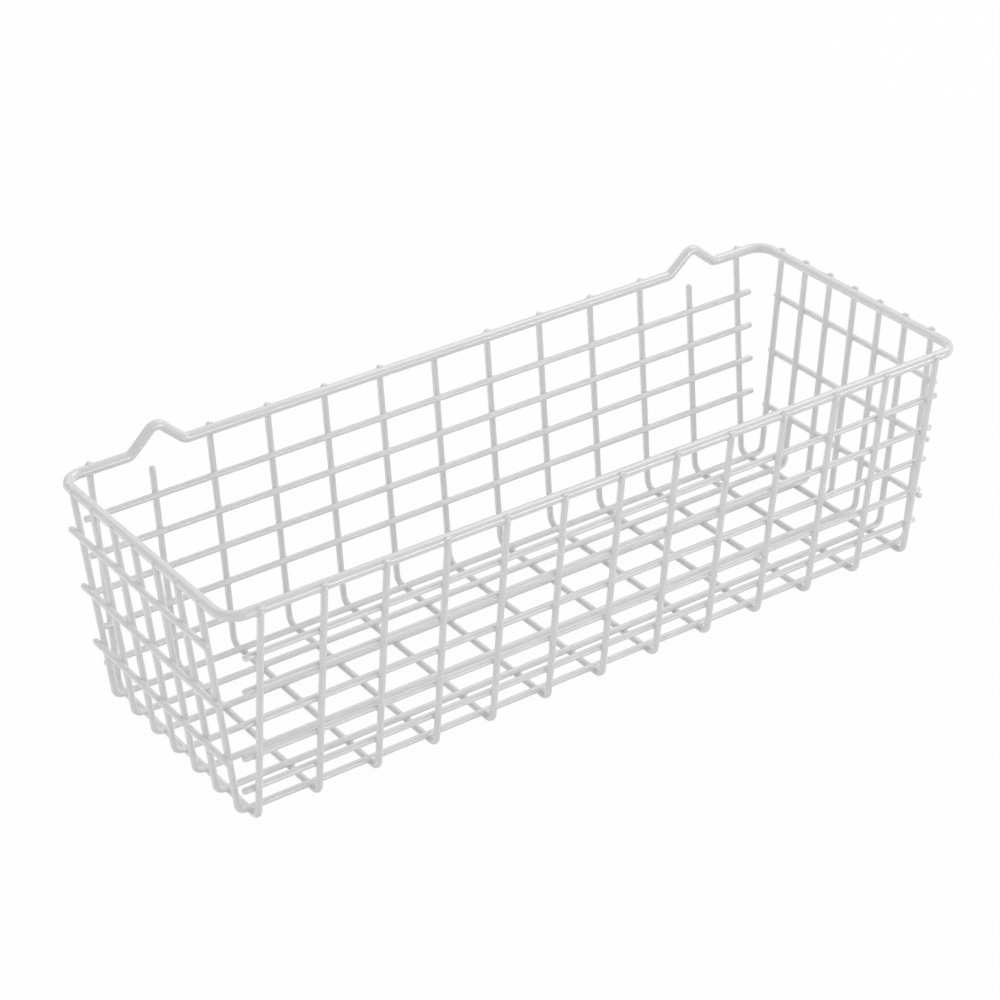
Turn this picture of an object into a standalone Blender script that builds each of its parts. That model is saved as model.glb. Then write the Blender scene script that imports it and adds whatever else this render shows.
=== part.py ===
"""Open-topped storage basket of coated steel wire.

A flat mesh of welded wires is folded up on four sides, so that its cross wires and long wires lie on the
floor and stand up as the legs of the walls. Straight wires are welded across the legs of each wall, and a
thicker rim wire runs round the top, inside the legs. The front leans out more than the back. The back of
the rim rises in two humps, which take the hooks that the basket hangs on.

Metres, +Z up. The origin is on the surface that the basket stands on, under the middle of its outline.
+X runs along the basket from left to right, and the front faces -Y.
"""
import math

import bmesh
import bpy
from mathutils import Matrix, Vector

# Wires, measured over their plastic coating
MESH_WIRE_DIAMETER = 0.0031
RIM_WIRE_DIAMETER = 0.0049
WELD_GAP = 0.0003

# Floor: cross wires run from front to back underneath, long wires run from end to end on top of them
CROSS_WIRES = 13
CROSS_PITCH = 0.0305
LONG_WIRES = 7
LONG_PITCH = 0.0184

# Walls: each stands a margin beyond the last floor wire and leans out from upright
FRONT_MARGIN = 0.0056
BACK_MARGIN = 0.0088
END_MARGIN = 0.0060
FRONT_LEAN = math.radians(7.9)
BACK_LEAN = math.radians(3.9)
END_LEAN = math.radians(5.3)

# Folds, where a floor wire turns up into a leg
CROSS_BEND_RADIUS = 0.0050
LONG_BEND_RADIUS = 0.0040

# Straight wires of the walls, which keep the floor's pitch, measured up the slope of their wall
SIDE_ROWS = 5
SIDE_FIRST_ROW = 0.0176
SIDE_ROW_OVERHANG = 0.0069
END_ROWS = 3
RIGHT_FIRST_ROW = 0.0290
LEFT_FIRST_ROW = 0.0338
END_ROW_OVERHANG = 0.0052

# Rim, whose height is measured over the top row of the back
RIM_ABOVE_TOP_ROW = 0.0229
RIM_CORNER_RADIUS = 0.0095

# Humps over the last cross wires but one: their inset from those wires, and how far to the right both sit.
# Their heights and half width are those of their sharp outline before it is rounded.
HUMP_INSET = 0.0013
HUMP_SHIFT = 0.0017
RIGHT_HUMP_HEIGHT = 0.0115
LEFT_HUMP_HEIGHT = 0.0130
HUMP_HALF_WIDTH = 0.0139
HUMP_BEND_RADIUS = 0.0050

# Leg tips, measured from the middle of the rim wire
FRONT_TIP_ABOVE_RIM = 0.0009
BACK_TIP_ABOVE_RIM = 0.0022
RIGHT_TIP_ABOVE_RIM = 0.0035
LEFT_TIP_ABOVE_RIM = 0.0018
HUMP_TIP_BELOW_RIM = 0.0090
JOINT_TIP_BELOW_RIM = 0.0025

# Facets
MESH_WIRE_SIDES = 8
RIM_WIRE_SIDES = 12
FOLD_STEPS = 6
CORNER_STEPS = 6
HUMP_STEPS = 4
TIP_STEPS = 3
SEAM_MERGE = 0.00001

# Places that follow from the sizes above
WIRE_RADIUS = MESH_WIRE_DIAMETER / 2
LAYER = MESH_WIRE_DIAMETER + WELD_GAP
RIM_LAYER = (MESH_WIRE_DIAMETER + RIM_WIRE_DIAMETER) / 2 + WELD_GAP
LAST_CROSS_X = (CROSS_WIRES - 1) * CROSS_PITCH / 2
LAST_LONG_Y = (LONG_WIRES - 1) * LONG_PITCH / 2
FRONT_FOOT = LAST_LONG_Y + FRONT_MARGIN
BACK_FOOT = LAST_LONG_Y + BACK_MARGIN
END_FOOT = LAST_CROSS_X + END_MARGIN
CROSS_HEIGHT = WIRE_RADIUS
LONG_HEIGHT = CROSS_HEIGHT + LAYER
TOP_ROW_HEIGHT = (SIDE_FIRST_ROW + (SIDE_ROWS - 1) * LONG_PITCH) * math.cos(BACK_LEAN)
RIM_HEIGHT = TOP_ROW_HEIGHT + RIM_ABOVE_TOP_ROW

# Axes that wires are bent about
FOLD_AXIS = Vector((0, -1, 0))
CORNER_AXIS = Vector((0, 0, -1))
HUMP_AXIS = Vector((0, -1, 0))


def clear_scene():
    """Start from an empty scene."""
    for thing in list(bpy.data.objects):
        bpy.data.objects.remove(thing, do_unlink=True)


def plastic_coat(name, colour, roughness):
    """The coating that a group of wires is dipped in."""
    coat = bpy.data.materials.new(name)
    coat.use_nodes = True
    shader = coat.node_tree.nodes["Principled BSDF"]
    shader.inputs["Base Color"].default_value = (*colour, 1)
    shader.inputs["Roughness"].default_value = roughness
    shader.inputs["Metallic"].default_value = 0
    coat.diffuse_color = (*colour, 1)
    return coat


def setback(radius, angle):
    """How far before a sharp corner a bend has to start."""
    return radius * math.tan(angle / 2)


class Leg:
    """One upright end of a folded wire.

    The foot is where the leg's line meets the standing surface, measured out from mid floor. Heights are
    above that surface.
    """

    def __init__(self, foot, lean, tip):
        self.foot = foot
        self.lean = lean
        self.tip = tip
        self.fold = math.pi / 2 - lean

    def line_at(self, height):
        """How far out the leg's line is at a height."""
        return self.foot + math.tan(self.lean) * height

    def reach(self):
        """How far out the surface of the leg comes, which is beside the start of its round tip."""
        beside = WIRE_RADIUS * math.cos(self.lean)
        return self.line_at(self.tip - beside) + beside

    def length(self, height):
        """Length of the leg's line from a height to the start of its round tip."""
        return (self.tip - height) / math.cos(self.lean) - WIRE_RADIUS


class FormedWire:
    """A round wire as a bending machine forms it: fed straight ahead, then bent about an axis."""

    def __init__(self, diameter, sides, start, heading, side):
        self.radius = diameter / 2
        self.body = bmesh.new()
        self.place = Vector(start)
        self.heading = Vector(heading)
        self.start = self.place.copy()
        self.start_heading = self.heading.copy()
        square = Matrix((side, self.heading.cross(side), self.heading)).transposed().to_4x4()
        flat_out = Matrix.Rotation(math.pi / sides, 4, "Z")
        bmesh.ops.create_circle(
            self.body,
            cap_ends=False,
            segments=sides,
            radius=self.radius / math.cos(math.pi / sides),
            matrix=Matrix.Translation(self.place) @ square @ flat_out,
        )
        self.first_ring = self.body.edges[:]
        self.ring = self.first_ring

    def grow(self, ring):
        """Extrude an open ring of edges, and give the new ring and its points."""
        made = bmesh.ops.extrude_edge_only(self.body, edges=ring)["geom"]
        points = [item for item in made if isinstance(item, bmesh.types.BMVert)]
        edges = [item for item in made if isinstance(item, bmesh.types.BMEdge) and item.is_boundary]
        return edges, points

    def feed(self, length):
        """Run straight ahead."""
        self.ring, points = self.grow(self.ring)
        bmesh.ops.translate(self.body, vec=self.heading * length, verts=points)
        self.place = self.place + self.heading * length

    def bend(self, axis, angle, radius, steps):
        """Turn about an axis that stands square to the heading."""
        centre = self.place + axis.cross(self.heading) * radius
        made = bmesh.ops.spin(
            self.body,
            geom=self.ring,
            cent=centre,
            axis=axis,
            angle=angle,
            steps=steps,
            use_duplicate=False,
        )["geom_last"]
        self.ring = [item for item in made if isinstance(item, bmesh.types.BMEdge) and item.is_boundary]
        turn = Matrix.Rotation(angle, 3, axis)
        self.place = centre + turn @ (self.place - centre)
        self.heading = turn @ self.heading

    def dome(self, ring, centre, heading):
        """Close an open end with a round tip, as the dipped coating leaves it."""
        rises = [math.sin(math.pi / 2 * step / TIP_STEPS) for step in range(TIP_STEPS + 1)]
        widths = [math.cos(math.pi / 2 * step / TIP_STEPS) for step in range(TIP_STEPS)]
        for step in range(1, TIP_STEPS):
            ring, points = self.grow(ring)
            rise = heading * self.radius * (rises[step] - rises[step - 1])
            centre = centre + rise
            bmesh.ops.translate(self.body, vec=rise, verts=points)
            narrower = widths[step] / widths[step - 1]
            bmesh.ops.scale(
                self.body, vec=(narrower,) * 3, space=Matrix.Translation(-centre), verts=points
            )
        ring, points = self.grow(ring)
        pole = centre + heading * self.radius * (rises[TIP_STEPS] - rises[TIP_STEPS - 1])
        bmesh.ops.pointmerge(self.body, verts=points, merge_co=pole)

    def round_tips(self):
        """Close both ends."""
        self.dome(self.first_ring, self.start, -self.start_heading)
        self.dome(self.ring, self.place, self.heading)

    def join_ends(self):
        """Close a wire that has come back to its start."""
        bmesh.ops.remove_doubles(self.body, verts=self.body.verts, dist=SEAM_MERGE)

    def mesh(self, name, coat):
        """The finished wire as a mesh in its coating."""
        bmesh.ops.recalc_face_normals(self.body, faces=self.body.faces)
        mesh = bpy.data.meshes.new(name)
        self.body.to_mesh(mesh)
        self.body.free()
        mesh.shade_smooth()
        mesh.materials.append(coat)
        return mesh


def straight_wire(name, length, coat):
    """A straight wire with round tips, along X and centred on its origin."""
    run = length - MESH_WIRE_DIAMETER
    wire = FormedWire(
        MESH_WIRE_DIAMETER, MESH_WIRE_SIDES, start=(-run / 2, 0, 0), heading=(1, 0, 0), side=FOLD_AXIS
    )
    wire.feed(run)
    wire.round_tips()
    return wire.mesh(name, coat)


def folded_wire(name, left, right, height, bend_radius, coat):
    """A floor wire whose ends are folded up into legs, in the XZ plane with its origin at mid floor."""
    left_setback = setback(bend_radius, left.fold)
    right_setback = setback(bend_radius, right.fold)
    down = Vector((math.sin(left.lean), 0, -math.cos(left.lean)))
    top_left = Vector((-left.line_at(height), 0, 0)) - down * left.length(height)
    wire = FormedWire(MESH_WIRE_DIAMETER, MESH_WIRE_SIDES, start=top_left, heading=down, side=FOLD_AXIS)
    wire.feed(left.length(height) - left_setback)
    wire.bend(FOLD_AXIS, left.fold, bend_radius, FOLD_STEPS)
    wire.feed(left.line_at(height) - left_setback + right.line_at(height) - right_setback)
    wire.bend(FOLD_AXIS, right.fold, bend_radius, FOLD_STEPS)
    wire.feed(right.length(height) - right_setback)
    wire.round_tips()
    return wire.mesh(name, coat)


def hump_reach(height):
    """How far from its peak a hump leaves the line of the rim."""
    return HUMP_HALF_WIDTH + setback(HUMP_BEND_RADIUS, math.atan2(height, HUMP_HALF_WIDTH))


def form_hump(wire, height):
    """Raise the rim over a rounded peak and bring it back to its line."""
    slope = math.atan2(height, HUMP_HALF_WIDTH)
    flank = (
        math.hypot(height, HUMP_HALF_WIDTH)
        - setback(HUMP_BEND_RADIUS, slope)
        - setback(HUMP_BEND_RADIUS, 2 * slope)
    )
    wire.bend(HUMP_AXIS, slope, HUMP_BEND_RADIUS, HUMP_STEPS)
    wire.feed(flank)
    wire.bend(-HUMP_AXIS, 2 * slope, HUMP_BEND_RADIUS, 2 * HUMP_STEPS)
    wire.feed(flank)
    wire.bend(HUMP_AXIS, slope, HUMP_BEND_RADIUS, HUMP_STEPS)


def rim_wire(name, half_length, half_width, coat):
    """The closed rim, formed clockwise from its butt joint in the middle of the back."""
    long_run = half_length - RIM_CORNER_RADIUS
    short_run = half_width - RIM_CORNER_RADIUS
    hump_x = LAST_CROSS_X - CROSS_PITCH - HUMP_INSET
    right_hump = hump_x + HUMP_SHIFT
    left_hump = hump_x - HUMP_SHIFT
    right_reach = hump_reach(RIGHT_HUMP_HEIGHT)
    left_reach = hump_reach(LEFT_HUMP_HEIGHT)
    wire = FormedWire(
        RIM_WIRE_DIAMETER, RIM_WIRE_SIDES, start=(0, half_width, 0), heading=(1, 0, 0), side=CORNER_AXIS
    )
    wire.feed(right_hump - right_reach)
    form_hump(wire, RIGHT_HUMP_HEIGHT)
    wire.feed(long_run - right_hump - right_reach)
    for run in (2 * short_run, 2 * long_run, 2 * short_run, long_run - left_hump - left_reach):
        wire.bend(CORNER_AXIS, math.pi / 2, RIM_CORNER_RADIUS, CORNER_STEPS)
        wire.feed(run)
    form_hump(wire, LEFT_HUMP_HEIGHT)
    wire.feed(left_hump - left_reach)
    wire.join_ends()
    return wire.mesh(name, coat)


def place(name, mesh, location, rotation, parent):
    """Put one piece in the scene."""
    piece = bpy.data.objects.new(name, mesh)
    piece.location = location
    piece.rotation_euler = rotation
    piece.parent = parent
    bpy.context.scene.collection.objects.link(piece)
    return piece


def add_cross_wires(basket, front, back, middle_y):
    """Cross wires, each one piece of wire: front leg, floor and back leg.

    The back legs under the humps are cut short to leave room for a hook, and the middle one stops under
    the rim's joint.
    """
    coat = plastic_coat("cross_wire_coat", (0.72, 0.73, 0.74), 0.3)
    under_hump = Leg(back.foot, back.lean, RIM_HEIGHT - HUMP_TIP_BELOW_RIM)
    under_joint = Leg(back.foot, back.lean, RIM_HEIGHT - JOINT_TIP_BELOW_RIM)
    short_legs = {2: under_hump, (CROSS_WIRES + 1) // 2: under_joint, CROSS_WIRES - 1: under_hump}
    for number in range(1, CROSS_WIRES + 1):
        name = f"cross_wire_{number:02d}"
        leg = short_legs.get(number, back)
        mesh = folded_wire(name, front, leg, CROSS_HEIGHT, CROSS_BEND_RADIUS, coat)
        x = (number - 1) * CROSS_PITCH - LAST_CROSS_X
        place(name, mesh, (x, middle_y, CROSS_HEIGHT), (0, 0, math.pi / 2), basket)


def add_long_wires(basket, left, right, middle_y):
    """Long wires, each one piece of wire: left leg, floor and right leg."""
    coat = plastic_coat("long_wire_coat", (0.73, 0.74, 0.75), 0.3)
    mesh = folded_wire("long_wire", left, right, LONG_HEIGHT, LONG_BEND_RADIUS, coat)
    for number in range(1, LONG_WIRES + 1):
        y = middle_y + (number - 1) * LONG_PITCH - LAST_LONG_Y
        place(f"long_wire_{number}", mesh, (0, y, LONG_HEIGHT), (0, 0, 0), basket)


def add_wall(basket, side, turn, middle_y, leg, mesh, layer, rows, first_row, pitch):
    """Straight wires across one wall.

    They hang on an empty at the wall's foot, which leans with the legs: its +Z runs up the slope and its
    +Y points into the basket. Rows are numbered from the floor up.
    """
    stand = Vector((0, middle_y, 0)) + Matrix.Rotation(turn, 3, "Z") @ Vector((0, -leg.foot, 0))
    wall = place(f"{side}_wall", None, stand, (leg.lean, 0, turn), basket)
    for row in range(rows):
        height = first_row + row * pitch
        place(f"{side}_wall_wire_{row + 1}", mesh, (0, layer, height), (0, 0, 0), wall)


def add_walls(basket, front, back, left, right, middle_y):
    """Wires of the four walls: inside the legs at the front and back, outside them at the two ends."""
    coat = plastic_coat("wall_wire_coat", (0.74, 0.75, 0.76), 0.3)
    long_row = straight_wire("side_wall_wire", 2 * (LAST_CROSS_X + SIDE_ROW_OVERHANG), coat)
    short_row = straight_wire("end_wall_wire", 2 * (LAST_LONG_Y + END_ROW_OVERHANG), coat)
    for side, turn, leg in (("front", 0, front), ("back", math.pi, back)):
        add_wall(
            basket, side, turn, middle_y, leg, long_row, LAYER, SIDE_ROWS, SIDE_FIRST_ROW, LONG_PITCH
        )
    for side, turn, leg, first_row in (
        ("right", math.pi / 2, right, RIGHT_FIRST_ROW),
        ("left", -math.pi / 2, left, LEFT_FIRST_ROW),
    ):
        add_wall(basket, side, turn, middle_y, leg, short_row, -LAYER, END_ROWS, first_row, CROSS_PITCH)


def add_rim(basket, front, back, end, middle_y):
    """The thick wire that stiffens the mouth, a layer inside the legs."""
    coat = plastic_coat("rim_wire_coat", (0.76, 0.77, 0.78), 0.25)
    front_y = front.line_at(RIM_HEIGHT) - RIM_LAYER / math.cos(front.lean)
    back_y = back.line_at(RIM_HEIGHT) - RIM_LAYER / math.cos(back.lean)
    half_length = end.line_at(RIM_HEIGHT) - RIM_LAYER / math.cos(end.lean)
    mesh = rim_wire("rim_wire", half_length, (front_y + back_y) / 2, coat)
    place("rim_wire", mesh, (0, middle_y + (back_y - front_y) / 2, RIM_HEIGHT), (0, 0, 0), basket)


def build_basket():
    """Assemble the basket under one empty.

    The front reaches further out from mid floor than the back, so the floor sits a little behind the origin
    to keep the outline centred.
    """
    clear_scene()
    basket = place("basket", None, (0, 0, 0), (0, 0, 0), None)
    front = Leg(FRONT_FOOT, FRONT_LEAN, RIM_HEIGHT + FRONT_TIP_ABOVE_RIM)
    back = Leg(BACK_FOOT, BACK_LEAN, RIM_HEIGHT + BACK_TIP_ABOVE_RIM)
    left = Leg(END_FOOT, END_LEAN, RIM_HEIGHT + LEFT_TIP_ABOVE_RIM)
    right = Leg(END_FOOT, END_LEAN, RIM_HEIGHT + RIGHT_TIP_ABOVE_RIM)
    middle_y = (front.reach() - back.reach()) / 2
    add_cross_wires(basket, front, back, middle_y)
    add_long_wires(basket, left, right, middle_y)
    add_walls(basket, front, back, left, right, middle_y)
    add_rim(basket, front, back, right, middle_y)


build_basket()
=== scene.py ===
import math

import bmesh
import bpy
from mathutils import Matrix, Vector


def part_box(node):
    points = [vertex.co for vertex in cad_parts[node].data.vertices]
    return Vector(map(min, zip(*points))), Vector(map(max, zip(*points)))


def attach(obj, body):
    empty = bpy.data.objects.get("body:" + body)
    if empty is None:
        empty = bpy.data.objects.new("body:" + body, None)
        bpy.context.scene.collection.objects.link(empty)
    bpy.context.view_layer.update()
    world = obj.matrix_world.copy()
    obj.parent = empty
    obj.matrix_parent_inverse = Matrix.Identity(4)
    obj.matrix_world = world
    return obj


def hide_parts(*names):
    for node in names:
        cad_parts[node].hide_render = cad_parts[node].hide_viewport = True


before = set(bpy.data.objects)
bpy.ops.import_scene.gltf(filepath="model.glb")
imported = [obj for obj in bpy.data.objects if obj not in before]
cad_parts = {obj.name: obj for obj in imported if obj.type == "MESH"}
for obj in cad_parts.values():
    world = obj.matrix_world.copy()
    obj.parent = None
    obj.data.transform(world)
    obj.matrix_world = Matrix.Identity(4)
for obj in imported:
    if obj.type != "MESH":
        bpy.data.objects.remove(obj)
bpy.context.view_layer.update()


# Cross wires: thirteen lengths of steel wire, each bent up at both ends into a front and a back leg, welded
# to whatever they cross and dipped in white plastic with the rest. They lie lowest and carry the basket.
# The two back legs under the humps are cut short, and the middle one stops below the joint in the rim.

CROSS_WIRES = 13
CROSS_FOLD_RADIUS = 0.0050
RING_SIDES = 24
RUN_STEP = 0.008
FOLD_STEPS = 14
FOLD_AXIS = Vector((0, -1, 0))
# How the coating closes over a cut end: (along, across), as shares of the wire's radius
TIP_SHARES = [(0.35, 0.99), (0.6, 0.95), (0.8, 0.87), (0.97, 0.74), (1.1, 0.57), (1.18, 0.37), (1.22, 0.18)]
TIP_END_SHARE = 1.23
# The white plastic: its colour and gloss, how its clouds shade them, and its ripples
DIPPED_WHITE = (0.80, 0.80, 0.80)
WIRE_ROUGHNESS = 0.09
PLASTIC_IOR = 1.7
CLOUDS_PER_METRE = 55
CLOUD_DETAIL = 3
CLOUD_SHADE_SHARE = 0.96
CLOUD_ROUGHNESS_SHARES = (0.8, 1.25)
RIPPLES_PER_METRE = 220
RIPPLE_DETAIL = 2
RIPPLE_STRENGTH = 0.3
RIPPLE_HEIGHT = 0.00006


def centre_of(node):
    """The middle of a wire of the frame."""
    low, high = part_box(node)
    return (low + high) / 2


def setback(radius, angle):
    """How far before a sharp corner a bend starts."""
    return radius * math.tan(angle / 2)


class CoatedWire:
    """A round coated wire, formed from one end to the other: run straight, then bent about an axis."""

    def __init__(self, radius, start, heading, side):
        self.radius = radius
        self.place = Vector(start)
        self.heading = Vector(heading)
        self.start = self.place.copy()
        self.start_heading = self.heading.copy()
        self.body = bmesh.new()
        square = Matrix((side, self.heading.cross(side), self.heading)).transposed().to_4x4()
        bmesh.ops.create_circle(
            self.body, segments=RING_SIDES, radius=radius, matrix=Matrix.Translation(self.place) @ square
        )
        self.first_ring = self.body.edges[:]
        self.ring = self.first_ring

    def grow(self, ring):
        """Extrude an open ring, and give the new ring and its points."""
        made = bmesh.ops.extrude_edge_only(self.body, edges=ring)["geom"]
        points = [item for item in made if isinstance(item, bmesh.types.BMVert)]
        edges = [item for item in made if isinstance(item, bmesh.types.BMEdge) and item.is_boundary]
        return edges, points

    def run(self, length):
        """Run straight ahead in short steps."""
        steps = max(1, round(length / RUN_STEP))
        for _ in range(steps):
            self.ring, points = self.grow(self.ring)
            bmesh.ops.translate(self.body, vec=self.heading * length / steps, verts=points)
        self.place = self.place + self.heading * length

    def bend(self, axis, angle, radius, steps):
        """Turn about an axis square to the heading."""
        centre = self.place + axis.cross(self.heading) * radius
        made = bmesh.ops.spin(
            self.body, geom=self.ring, cent=centre, axis=axis, angle=angle, steps=steps, use_duplicate=False
        )["geom_last"]
        self.ring = [item for item in made if isinstance(item, bmesh.types.BMEdge) and item.is_boundary]
        turn = Matrix.Rotation(angle, 3, axis)
        self.place = centre + turn @ (self.place - centre)
        self.heading = turn @ self.heading

    def cap(self, ring, centre, heading):
        """Close the coating over a cut end."""
        along, across = 0, 1
        for next_along, next_across in TIP_SHARES:
            ring, points = self.grow(ring)
            step = heading * self.radius * (next_along - along)
            centre = centre + step
            bmesh.ops.translate(self.body, vec=step, verts=points)
            change = next_across / across
            bmesh.ops.scale(self.body, vec=(change,) * 3, space=Matrix.Translation(-centre), verts=points)
            along, across = next_along, next_across
        ring, points = self.grow(ring)
        pole = centre + heading * self.radius * (TIP_END_SHARE - along)
        bmesh.ops.pointmerge(self.body, verts=points, merge_co=pole)

    def cap_ends(self):
        """Close both ends."""
        self.cap(self.first_ring, self.start, -self.start_heading)
        self.cap(self.ring, self.place, self.heading)
        self.turn_skin_out()

    def turn_skin_out(self):
        """Make the closed skin look outwards all over."""
        bmesh.ops.recalc_face_normals(self.body, faces=self.body.faces)
        if self.body.calc_volume(signed=True) < 0:
            bmesh.ops.reverse_faces(self.body, faces=self.body.faces)


def white_coat(name, roughness):
    """Dipped white plastic: smooth and half glossy, a little uneven in colour and gloss, softly rippled."""
    coat = bpy.data.materials.new(name)
    coat.use_nodes = True
    nodes, links = coat.node_tree.nodes, coat.node_tree.links
    shader = nodes["Principled BSDF"]
    shader.inputs["IOR"].default_value = PLASTIC_IOR
    where = nodes.new("ShaderNodeTexCoord")
    clouds = nodes.new("ShaderNodeTexNoise")
    clouds.inputs["Scale"].default_value = CLOUDS_PER_METRE
    clouds.inputs["Detail"].default_value = CLOUD_DETAIL
    links.new(where.outputs["Object"], clouds.inputs["Vector"])
    tint = nodes.new("ShaderNodeMix")
    tint.data_type = "RGBA"
    tint.inputs["A"].default_value = (*[channel * CLOUD_SHADE_SHARE for channel in DIPPED_WHITE], 1)
    tint.inputs["B"].default_value = (*DIPPED_WHITE, 1)
    links.new(clouds.outputs["Fac"], tint.inputs["Factor"])
    links.new(tint.outputs["Result"], shader.inputs["Base Color"])
    gloss = nodes.new("ShaderNodeMapRange")
    gloss.inputs["To Min"].default_value = roughness * CLOUD_ROUGHNESS_SHARES[0]
    gloss.inputs["To Max"].default_value = roughness * CLOUD_ROUGHNESS_SHARES[1]
    links.new(clouds.outputs["Fac"], gloss.inputs["Value"])
    links.new(gloss.outputs["Result"], shader.inputs["Roughness"])
    ripple = nodes.new("ShaderNodeTexNoise")
    ripple.inputs["Scale"].default_value = RIPPLES_PER_METRE
    ripple.inputs["Detail"].default_value = RIPPLE_DETAIL
    links.new(where.outputs["Object"], ripple.inputs["Vector"])
    skin = nodes.new("ShaderNodeBump")
    skin.inputs["Strength"].default_value = RIPPLE_STRENGTH
    skin.inputs["Distance"].default_value = RIPPLE_HEIGHT
    links.new(ripple.outputs["Fac"], skin.inputs["Height"])
    links.new(skin.outputs["Normal"], shader.inputs["Normal"])
    return coat


def show(name, body, coat, slot, *nodes):
    """Put a finished piece in the scene in place of the frame's wires."""
    mesh = bpy.data.meshes.new(name)
    body.to_mesh(mesh)
    body.free()
    mesh.shade_smooth()
    mesh.materials.append(coat)
    piece = bpy.data.objects.new(name, mesh)
    bpy.context.scene.collection.objects.link(piece)
    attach(piece, "root")
    if nodes:
        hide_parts(*nodes)
    return piece


WIRE_RADIUS = (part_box("cross_wire_07")[1].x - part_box("cross_wire_07")[0].x) / 2
# The frame's wires stand clear of each other, and here they are sunk together as the welds leave them
FRAME_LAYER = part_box("long_wire_4")[0].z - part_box("cross_wire_07")[0].z
WELDED_LAYER = 0.00235
SINK = FRAME_LAYER - WELDED_LAYER
# The rounded tips stay this much inside the outline of the frame's square ones
TIP_CLEARANCE = 0.00002

MIDDLE_Y = centre_of("long_wire_4").y


class Wall:
    """The sloping plane that the legs of one wall stand in, measured from the wires across it.

    The foot is where the plane meets the floor, measured out from mid floor.
    """

    def __init__(self, low_node, high_node, outward, middle, legs_outside):
        low, high = centre_of(low_node), centre_of(high_node)
        self.outward = outward
        self.lean = math.atan2(outward.dot(high - low), high.z - low.z)
        slant = FRAME_LAYER / math.cos(self.lean) * (1 if legs_outside else -1)
        self.foot = outward.dot(low - middle) - math.tan(self.lean) * low.z + slant
        self.fold = math.pi / 2 - self.lean

    def line_at(self, height):
        """How far out the plane is at a height."""
        return self.foot + math.tan(self.lean) * height

    def tip_for(self, reach):
        """How high a leg ends whose tip reaches a distance out from mid floor."""
        beside = WIRE_RADIUS * math.cos(self.lean)
        return (reach - TIP_CLEARANCE - beside - self.foot) / math.tan(self.lean) + beside

    def square_out(self):
        """The direction square to the plane, out of the basket."""
        return self.outward * math.cos(self.lean) - Vector((0, 0, math.sin(self.lean)))


middle = Vector((0, MIDDLE_Y, 0))
front = Wall("front_wall_wire_1", "front_wall_wire_5", Vector((0, -1, 0)), middle, True)
back = Wall("back_wall_wire_1", "back_wall_wire_5", Vector((0, 1, 0)), middle, True)


def folded_wire(left, left_tip, right, right_tip, height, fold_radius):
    """A floor wire with both ends folded up into two walls, lying in the XZ plane about mid floor."""
    tip = TIP_END_SHARE * WIRE_RADIUS
    left_length = (left_tip - height) / math.cos(left.lean) - tip
    right_length = (right_tip - height) / math.cos(right.lean) - tip
    left_gap, right_gap = setback(fold_radius, left.fold), setback(fold_radius, right.fold)
    down = Vector((math.sin(left.lean), 0, -math.cos(left.lean)))
    left_end = Vector((-left.line_at(height), 0, 0)) - down * left_length
    wire = CoatedWire(WIRE_RADIUS, left_end, down, FOLD_AXIS)
    wire.run(left_length - left_gap)
    wire.bend(FOLD_AXIS, left.fold, fold_radius, FOLD_STEPS)
    wire.run(left.line_at(height) - left_gap + right.line_at(height) - right_gap)
    wire.bend(FOLD_AXIS, right.fold, fold_radius, FOLD_STEPS)
    wire.run(right_length - right_gap)
    wire.cap_ends()
    return wire.body


cross_coat = white_coat("cross_wire_coat", WIRE_ROUGHNESS)
for number in range(1, CROSS_WIRES + 1):
    node = f"cross_wire_{number:02d}"
    low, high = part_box(node)
    front_tip = front.tip_for(MIDDLE_Y - low.y)
    back_tip = back.tip_for(high.y - MIDDLE_Y)
    body = folded_wire(front, front_tip, back, back_tip, WIRE_RADIUS, CROSS_FOLD_RADIUS)
    stand = Matrix.Translation(((low.x + high.x) / 2, MIDDLE_Y, WIRE_RADIUS))
    body.transform(stand @ Matrix.Rotation(math.pi / 2, 4, "Z"))
    show(f"coated_{node}", body, cross_coat, "cross_wire_coat", node)


# Long wires: seven lengths of the same wire, laid on the cross wires and bent up at both ends into the legs
# of the two end walls. Their folds are tighter, and their tips stand a little proud of the rim.

LONG_WIRES = 7
LONG_FOLD_RADIUS = 0.0040
left = Wall("left_wall_wire_1", "left_wall_wire_3", Vector((-1, 0, 0)), middle, False)
right = Wall("right_wall_wire_1", "right_wall_wire_3", Vector((1, 0, 0)), middle, False)

long_coat = white_coat("long_wire_coat", WIRE_ROUGHNESS)
for number in range(1, LONG_WIRES + 1):
    node = f"long_wire_{number}"
    low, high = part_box(node)
    height = low.z + WIRE_RADIUS - SINK
    body = folded_wire(left, left.tip_for(-low.x), right, right.tip_for(high.x), height, LONG_FOLD_RADIUS)
    body.transform(Matrix.Translation((0, (low.y + high.y) / 2, height)))
    show(f"coated_{node}", body, long_coat, "long_wire_coat", node)


# Wall wires: straight lengths of the same wire, welded across the legs. Those of the front and back walls
# lie inside the legs, and those of the end walls outside them. Their cut ends overhang the last legs.

SIDE_ROWS = 5
END_ROWS = 3


def straight_wire(length):
    """A straight wire along X, centred on its origin."""
    run = length - 2 * TIP_END_SHARE * WIRE_RADIUS
    wire = CoatedWire(WIRE_RADIUS, (-run / 2, 0, 0), Vector((1, 0, 0)), FOLD_AXIS)
    wire.run(run)
    wire.cap_ends()
    return wire.body


def press_wires(side, rows, wall, towards_legs):
    """The wires across one wall, each pressed into its legs."""
    for row in range(1, rows + 1):
        node = f"{side}_wall_wire_{row}"
        low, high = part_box(node)
        body = straight_wire(max(high - low))
        square = Matrix.Rotation(math.atan2(wall.outward.x, -wall.outward.y), 4, "Z")
        seat = (low + high) / 2 + wall.square_out() * SINK * towards_legs
        body.transform(Matrix.Translation(seat) @ square)
        show(f"coated_{node}", body, wall_coat, "wall_wire_coat", node)


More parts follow.
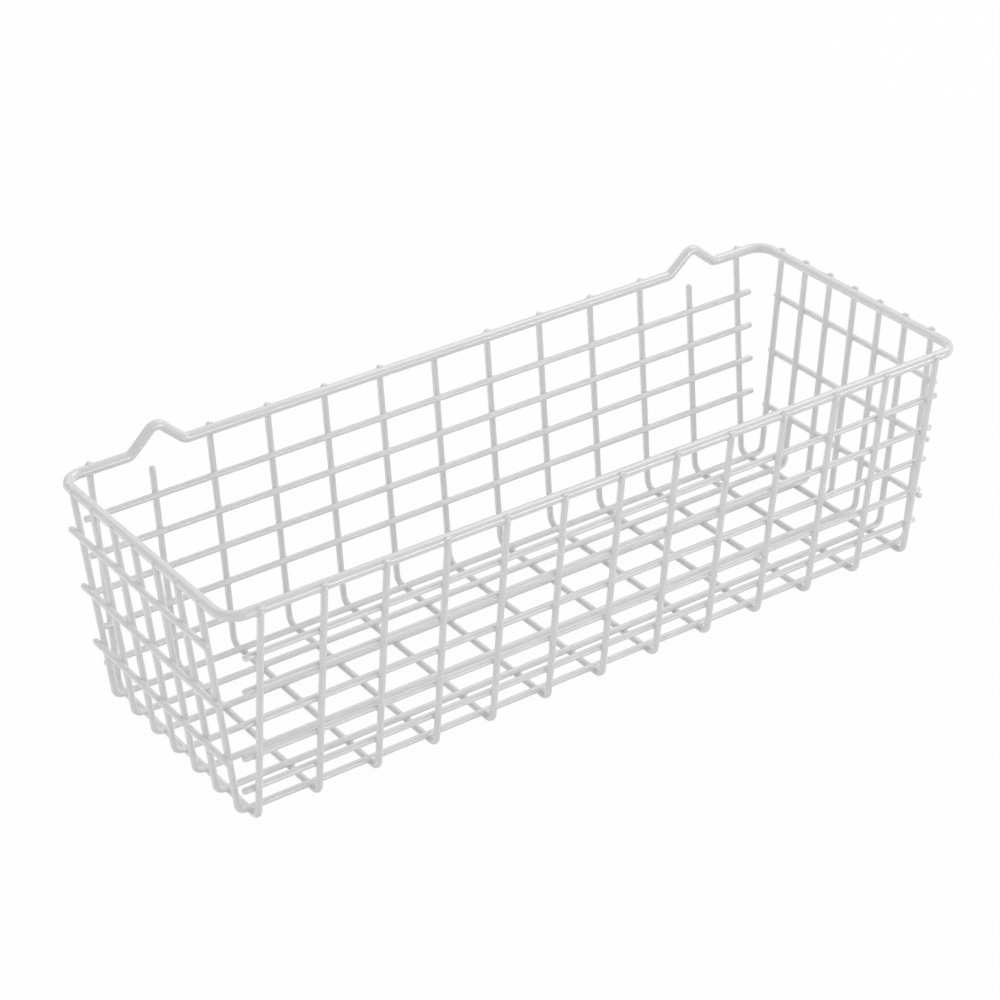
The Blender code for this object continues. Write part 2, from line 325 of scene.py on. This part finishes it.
wall_coat = white_coat("wall_wire_coat", WIRE_ROUGHNESS)
press_wires("front", SIDE_ROWS, front, 1)
press_wires("back", SIDE_ROWS, back, 1)
press_wires("left", END_ROWS, left, -1)
press_wires("right", END_ROWS, right, -1)


# Rim: one thicker wire, formed into a closed frame with its ends butt welded in the middle of the back, and
# welded inside the tops of the legs. Two humps in the back take the hooks that the basket hangs on.

RIM_RADIUS = 0.00245
RIM_ROUGHNESS = 0.08
CORNER_RADIUS = 0.0095
CORNER_STEPS = 16
HUMP_HALF_WIDTH = 0.0139
HUMP_BEND_RADIUS = 0.0050
LEFT_HUMP_X = 0.1495
LEFT_HUMP_HEIGHT = 0.0130
RIGHT_HUMP_X = 0.1529
RIGHT_HUMP_HEIGHT = 0.0115
HUMP_STEPS = 8
SEAM_MERGE = 0.00001
# How far inside the legs' centrelines the rim's runs, once it is pressed into them
RIM_SIDE_LAYER = 0.0021
RIM_END_LAYER = 0.0016
CORNER_AXIS = Vector((0, 0, -1))
HUMP_AXIS = Vector((0, -1, 0))


def hump_reach(height):
    """How far from its peak a hump leaves the rim's line."""
    return HUMP_HALF_WIDTH + setback(HUMP_BEND_RADIUS, math.atan2(height, HUMP_HALF_WIDTH))


def form_hump(wire, height):
    """Up from the rim's line, over a rounded peak and down again."""
    slope = math.atan2(height, HUMP_HALF_WIDTH)
    flank = math.hypot(height, HUMP_HALF_WIDTH)
    flank -= setback(HUMP_BEND_RADIUS, slope) + setback(HUMP_BEND_RADIUS, 2 * slope)
    wire.bend(HUMP_AXIS, slope, HUMP_BEND_RADIUS, HUMP_STEPS)
    wire.run(flank)
    wire.bend(-HUMP_AXIS, 2 * slope, HUMP_BEND_RADIUS, 2 * HUMP_STEPS)
    wire.run(flank)
    wire.bend(HUMP_AXIS, slope, HUMP_BEND_RADIUS, HUMP_STEPS)


rim_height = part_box("rim_wire")[0].z + RIM_RADIUS
rim_front = front.line_at(rim_height) - RIM_SIDE_LAYER / math.cos(front.lean)
rim_back = back.line_at(rim_height) - RIM_SIDE_LAYER / math.cos(back.lean)
half_length = right.line_at(rim_height) - RIM_END_LAYER / math.cos(right.lean)
left_reach, right_reach = hump_reach(LEFT_HUMP_HEIGHT), hump_reach(RIGHT_HUMP_HEIGHT)
long_run = half_length - CORNER_RADIUS
short_run = rim_front + rim_back - 2 * CORNER_RADIUS
rim = CoatedWire(RIM_RADIUS, (0, MIDDLE_Y + rim_back, rim_height), Vector((1, 0, 0)), CORNER_AXIS)
rim.run(RIGHT_HUMP_X - right_reach)
form_hump(rim, RIGHT_HUMP_HEIGHT)
rim.run(long_run - RIGHT_HUMP_X - right_reach)
for length in (short_run, 2 * long_run, short_run, long_run - LEFT_HUMP_X - left_reach):
    rim.bend(CORNER_AXIS, math.pi / 2, CORNER_RADIUS, CORNER_STEPS)
    rim.run(length)
form_hump(rim, LEFT_HUMP_HEIGHT)
rim.run(LEFT_HUMP_X - left_reach)
bmesh.ops.remove_doubles(rim.body, verts=rim.body.verts, dist=SEAM_MERGE)
rim.turn_skin_out()
rim_coat = white_coat("rim_wire_coat", RIM_ROUGHNESS)
show("coated_rim_wire", rim.body, rim_coat, "rim_wire_coat", "rim_wire")


# Welds: where two wires cross they are pressed into each other, and the dipped plastic pools in the four
# corners of the crossing. Each pool is a small cushion with hollow sides, hidden but for those corners.

POOL_POINTS = 24
POOL_FILLET = 0.0012
POOL_HALF_HEIGHT = 0.00075
POOL_WAIST_SHARE = 0.62
# The cross wires whose back legs end below the rim
SHORT_BACK_LEGS = (2, 7, 12)


def raised(body, face):
    """A second layer of a face, joined to it by walls."""
    made = bmesh.ops.extrude_face_region(body, geom=[face])["geom"]
    return next(item for item in made if isinstance(item, bmesh.types.BMFace))


def add_pool(body, middle, along, normal, along_radius, across_radius, layer):
    """One pool between a wire that runs along and a wire that crosses it squarely, a layer above it.

    The middle is on the lower wire's centreline, and the layer is between the two centrelines.
    """
    contact = (layer + along_radius - across_radius) / 2
    half_along = math.sqrt(along_radius**2 - contact**2)
    half_across = math.sqrt(across_radius**2 - (layer - contact) ** 2)
    corner = Vector((half_across + POOL_FILLET, half_along + POOL_FILLET))
    circle = bmesh.ops.create_circle(body, cap_ends=True, segments=POOL_POINTS, radius=1)["verts"]
    for point in circle:
        ray = Vector((abs(point.co.x), abs(point.co.y)))
        reach = ray.dot(corner)
        inside = POOL_FILLET**2 - corner.length_squared + reach**2
        point.co *= reach - math.sqrt(inside) if inside > 0 else max(corner)
    underside = circle[0].link_faces[0]
    waist = raised(body, underside)
    top = raised(body, waist)
    low_points, waist_points, top_points = list(underside.verts), list(waist.verts), list(top.verts)
    bmesh.ops.delete(body, geom=[waist], context="FACES_ONLY")
    bmesh.ops.scale(body, vec=(1, POOL_WAIST_SHARE, 1), verts=low_points)
    bmesh.ops.scale(body, vec=(POOL_WAIST_SHARE, 1, 1), verts=top_points)
    bmesh.ops.translate(body, vec=(0, 0, -POOL_HALF_HEIGHT), verts=low_points)
    bmesh.ops.translate(body, vec=(0, 0, POOL_HALF_HEIGHT), verts=top_points)
    skin = list({touching for point in low_points + top_points for touching in point.link_faces})
    bmesh.ops.recalc_face_normals(body, faces=skin)
    top.normal_update()
    if top.normal.z < 0:
        bmesh.ops.reverse_faces(body, faces=skin)
    square = Matrix((along, normal.cross(along), normal)).transposed().to_4x4()
    seat = Matrix.Translation(middle + normal * contact) @ square
    bmesh.ops.transform(body, matrix=seat, verts=low_points + waist_points + top_points)


weld_coat = white_coat("weld_coat", WIRE_ROUGHNESS)
cross_x = [centre_of(f"cross_wire_{number:02d}").x for number in range(1, CROSS_WIRES + 1)]
long_y = [centre_of(f"long_wire_{number}").y for number in range(1, LONG_WIRES + 1)]
up, along_y = Vector((0, 0, 1)), Vector((0, 1, 0))
pools = bmesh.new()
for x in cross_x:
    for y in long_y:
        add_pool(pools, Vector((x, y, WIRE_RADIUS)), along_y, up, WIRE_RADIUS, WIRE_RADIUS, WELDED_LAYER)
show("floor_welds", pools, weld_coat, "long_wire_coat")

for side, wall in (("front", front), ("back", back)):
    out = wall.square_out()
    pools = bmesh.new()
    for row in range(1, SIDE_ROWS + 1):
        seat = centre_of(f"{side}_wall_wire_{row}") + out * SINK
        for x in cross_x:
            place = Vector((x, seat.y, seat.z))
            add_pool(pools, place, wall.outward.cross(up), out, WIRE_RADIUS, WIRE_RADIUS, WELDED_LAYER)
    show(f"{side}_wall_welds", pools, weld_coat, "wall_wire_coat")

for side, wall in (("left", left), ("right", right)):
    out = wall.square_out()
    pools = bmesh.new()
    for row in range(1, END_ROWS + 1):
        seat = centre_of(f"{side}_wall_wire_{row}") - out * (SINK + WELDED_LAYER)
        for y in long_y:
            place = Vector((seat.x, y, seat.z))
            add_pool(pools, place, out.cross(along_y), out, WIRE_RADIUS, WIRE_RADIUS, WELDED_LAYER)
    show(f"{side}_wall_welds", pools, weld_coat, "wall_wire_coat")

pools = bmesh.new()
for number, x in enumerate(cross_x, 1):
    place = Vector((x, MIDDLE_Y - rim_front, rim_height))
    out = front.square_out()
    add_pool(pools, place, front.outward.cross(up), out, RIM_RADIUS, WIRE_RADIUS, RIM_SIDE_LAYER)
    if number not in SHORT_BACK_LEGS:
        place = Vector((x, MIDDLE_Y + rim_back, rim_height))
        out = back.square_out()
        add_pool(pools, place, back.outward.cross(up), out, RIM_RADIUS, WIRE_RADIUS, RIM_SIDE_LAYER)
for wall in (left, right):
    for y in long_y:
        place = Vector((wall.outward.x * half_length, y, rim_height))
        out = wall.square_out()
        add_pool(pools, place, wall.outward.cross(up), out, RIM_RADIUS, WIRE_RADIUS, RIM_END_LAYER)
show("rim_welds", pools, weld_coat, "rim_wire_coat")


# Stage: a plain white floor that runs out of sight, white surroundings, soft daylight from above and from
# three sides, and three soft lamps: a low one in front, which only draws a thin bright line along the wires,
# and two weak ones behind and on the right. The camera stands left of the front and looks down on the basket.

FLOOR_SIZE = 8.0
FLOOR_WHITE = (0.9, 0.9, 0.9, 1)
# How much of the floor shows as plain white, where the rest keeps the basket's shadow
FLOOR_GLOW_SHARE = 0.96
LENS_MM = 104.044
SENSOR_MM = 36
FAR_CLIP = 50
CAMERA_PLACE = (-0.65708, -0.94943, 0.73871)
CAMERA_TURN_DEG = (59.8366, 1.2761, -34.8393)
# Where the soft daylight comes from: a direction, how much, and whether it hangs low over the floor
DAYLIGHT = [
    ((0, 0, 1), 0.35, False),
    ((-0.82, 0.57, 0), 0.50, False),
    ((0.82, -0.57, 0), 1.45, False),
    ((-1, 0, 0), 2.8, True),
]
LOW_GLOW_TOP = 0.5
LAMP_AWAY = 1.6
LAMP_MIDDLE = 0.05
SHINE_SIZE = (1.1, 0.3)
BACK_LAMP_SIZE = (1.2, 0.8)
RIGHT_LAMP_SIZE = (1.0, 1.0)

bpy.ops.mesh.primitive_plane_add(size=FLOOR_SIZE, location=(0, 0, 0))
floor = bpy.context.object
floor.name = "floor"
floor_white = bpy.data.materials.new("floor_white")
floor_white.use_nodes = True
nodes, links = floor_white.node_tree.nodes, floor_white.node_tree.links
nodes.clear()
matt = nodes.new("ShaderNodeBsdfDiffuse")
matt.inputs["Color"].default_value = FLOOR_WHITE
glow = nodes.new("ShaderNodeEmission")
blend = nodes.new("ShaderNodeMixShader")
ray = nodes.new("ShaderNodeLightPath")
share = nodes.new("ShaderNodeMath")
share.operation = "MULTIPLY_ADD"
share.use_clamp = True
share.inputs[1].default_value = FLOOR_GLOW_SHARE
out = nodes.new("ShaderNodeOutputMaterial")
links.new(ray.outputs["Is Camera Ray"], share.inputs[0])
links.new(ray.outputs["Is Glossy Ray"], share.inputs[2])
links.new(share.outputs["Value"], blend.inputs["Fac"])
links.new(matt.outputs["BSDF"], blend.inputs[1])
links.new(glow.outputs["Emission"], blend.inputs[2])
links.new(blend.outputs["Shader"], out.inputs["Surface"])
floor.data.materials.append(floor_white)

world = bpy.data.worlds.new("daylight")
bpy.context.scene.world = world
world.use_nodes = True
nodes, links = world.node_tree.nodes, world.node_tree.links
nodes.clear()
where = nodes.new("ShaderNodeTexCoord")
seen = nodes.new("ShaderNodeLightPath")
white = nodes.new("ShaderNodeMath")
white.operation = "MAXIMUM"
links.new(seen.outputs["Is Camera Ray"], white.inputs[0])
links.new(seen.outputs["Is Glossy Ray"], white.inputs[1])
level = nodes.new("ShaderNodeMix")
level.data_type = "FLOAT"
level.inputs["B"].default_value = 1.0
links.new(white.outputs["Value"], level.inputs["Factor"])
height = nodes.new("ShaderNodeSeparateXYZ")
links.new(where.outputs["Generated"], height.inputs["Vector"])
low = nodes.new("ShaderNodeMapRange")
low.interpolation_type = "SMOOTHSTEP"
low.inputs["From Max"].default_value = LOW_GLOW_TOP
low.inputs["To Min"].default_value = 1.0
low.inputs["To Max"].default_value = 0.0
links.new(height.outputs["Z"], low.inputs["Value"])
strength = None
for direction, amount, hangs_low in DAYLIGHT:
    towards = nodes.new("ShaderNodeVectorMath")
    towards.operation = "DOT_PRODUCT"
    towards.inputs[1].default_value = Vector(direction).normalized()
    links.new(where.outputs["Generated"], towards.inputs[0])
    fade = nodes.new("ShaderNodeMapRange")
    fade.interpolation_type = "SMOOTHSTEP"
    fade.inputs["To Max"].default_value = amount
    links.new(towards.outputs["Value"], fade.inputs["Value"])
    glow = fade.outputs["Result"]
    if hangs_low:
        lowered = nodes.new("ShaderNodeMath")
        lowered.operation = "MULTIPLY"
        links.new(glow, lowered.inputs[0])
        links.new(low.outputs["Result"], lowered.inputs[1])
        glow = lowered.outputs["Value"]
    if strength:
        total = nodes.new("ShaderNodeMath")
        links.new(strength, total.inputs[0])
        links.new(glow, total.inputs[1])
        glow = total.outputs["Value"]
    strength = glow
sky = nodes.new("ShaderNodeBackground")
out = nodes.new("ShaderNodeOutputWorld")
links.new(strength, level.inputs["A"])
links.new(level.outputs["Result"], sky.inputs["Strength"])
links.new(sky.outputs["Background"], out.inputs["Surface"])


def soft_lamp(name, round_deg, up_deg, size, watts):
    """A soft lamp round about and up from the basket, turned to it."""
    data = bpy.data.lights.new(name, "AREA")
    data.shape = "RECTANGLE"
    data.size, data.size_y = size
    data.energy = watts
    lamp = bpy.data.objects.new(name, data)
    way = Vector((math.cos(math.radians(up_deg)), 0, math.sin(math.radians(up_deg))))
    way.rotate(Matrix.Rotation(math.radians(round_deg), 3, "Z"))
    lamp.location = Vector((0, 0, LAMP_MIDDLE)) + way * LAMP_AWAY
    lamp.rotation_euler = way.to_track_quat("Z", "Y").to_euler()
    bpy.context.scene.collection.objects.link(lamp)
    return lamp


# The low lamp only draws its reflection, and gives no other light
shine = soft_lamp("low_front_lamp", round_deg=-65, up_deg=3, size=SHINE_SIZE, watts=9)
shine.visible_diffuse = False
soft_lamp("back_lamp", round_deg=77, up_deg=44, size=BACK_LAMP_SIZE, watts=2.6)
soft_lamp("right_lamp", round_deg=10, up_deg=50, size=RIGHT_LAMP_SIZE, watts=7.5)

camera_data = bpy.data.cameras.new("camera")
camera_data.lens = LENS_MM
camera_data.sensor_width = SENSOR_MM
camera_data.clip_end = FAR_CLIP
camera = bpy.data.objects.new("camera", camera_data)
camera.location = CAMERA_PLACE
camera.rotation_euler = [math.radians(angle) for angle in CAMERA_TURN_DEG]
bpy.context.scene.collection.objects.link(camera)
bpy.context.scene.camera = camera
bpy.context.scene.view_settings.view_transform = "Standard"
